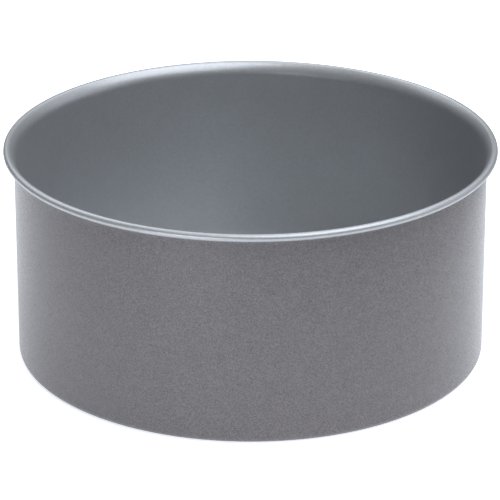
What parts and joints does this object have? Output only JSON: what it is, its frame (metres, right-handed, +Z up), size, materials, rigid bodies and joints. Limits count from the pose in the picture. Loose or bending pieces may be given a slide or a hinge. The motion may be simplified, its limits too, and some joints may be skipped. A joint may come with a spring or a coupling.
{
  "type": "cake pan",
  "caption": "Deep round cake pan with a straight coated-steel wall, a flared rim rolled round a wire, and a loose ribbed base that lifts out.",
  "frame": {"origin": "on the counter, at the middle of the foot ring", "axes": "+Z up along the pan's axis of revolution, from the counter towards the open mouth; X and Y are alike"},
  "size_m": [0.21, 0.21, 0.0936],
  "materials": {
    "wall_coat": "satin",
    "wire_steel": "satin",
    "base_coat": "satin"
  },
  "bodies": {
    "wall": {"pan_wall": "wall_coat", "rim_wire": "wire_steel"},
    "base": {"loose_base": "base_coat"}
  },
  "joints": [
    {"name": "base_lift", "type": "slide", "parent": "wall", "child": "base", "axis": [0, 0, 1], "range_m": [0, 0.105]}
  ]
}
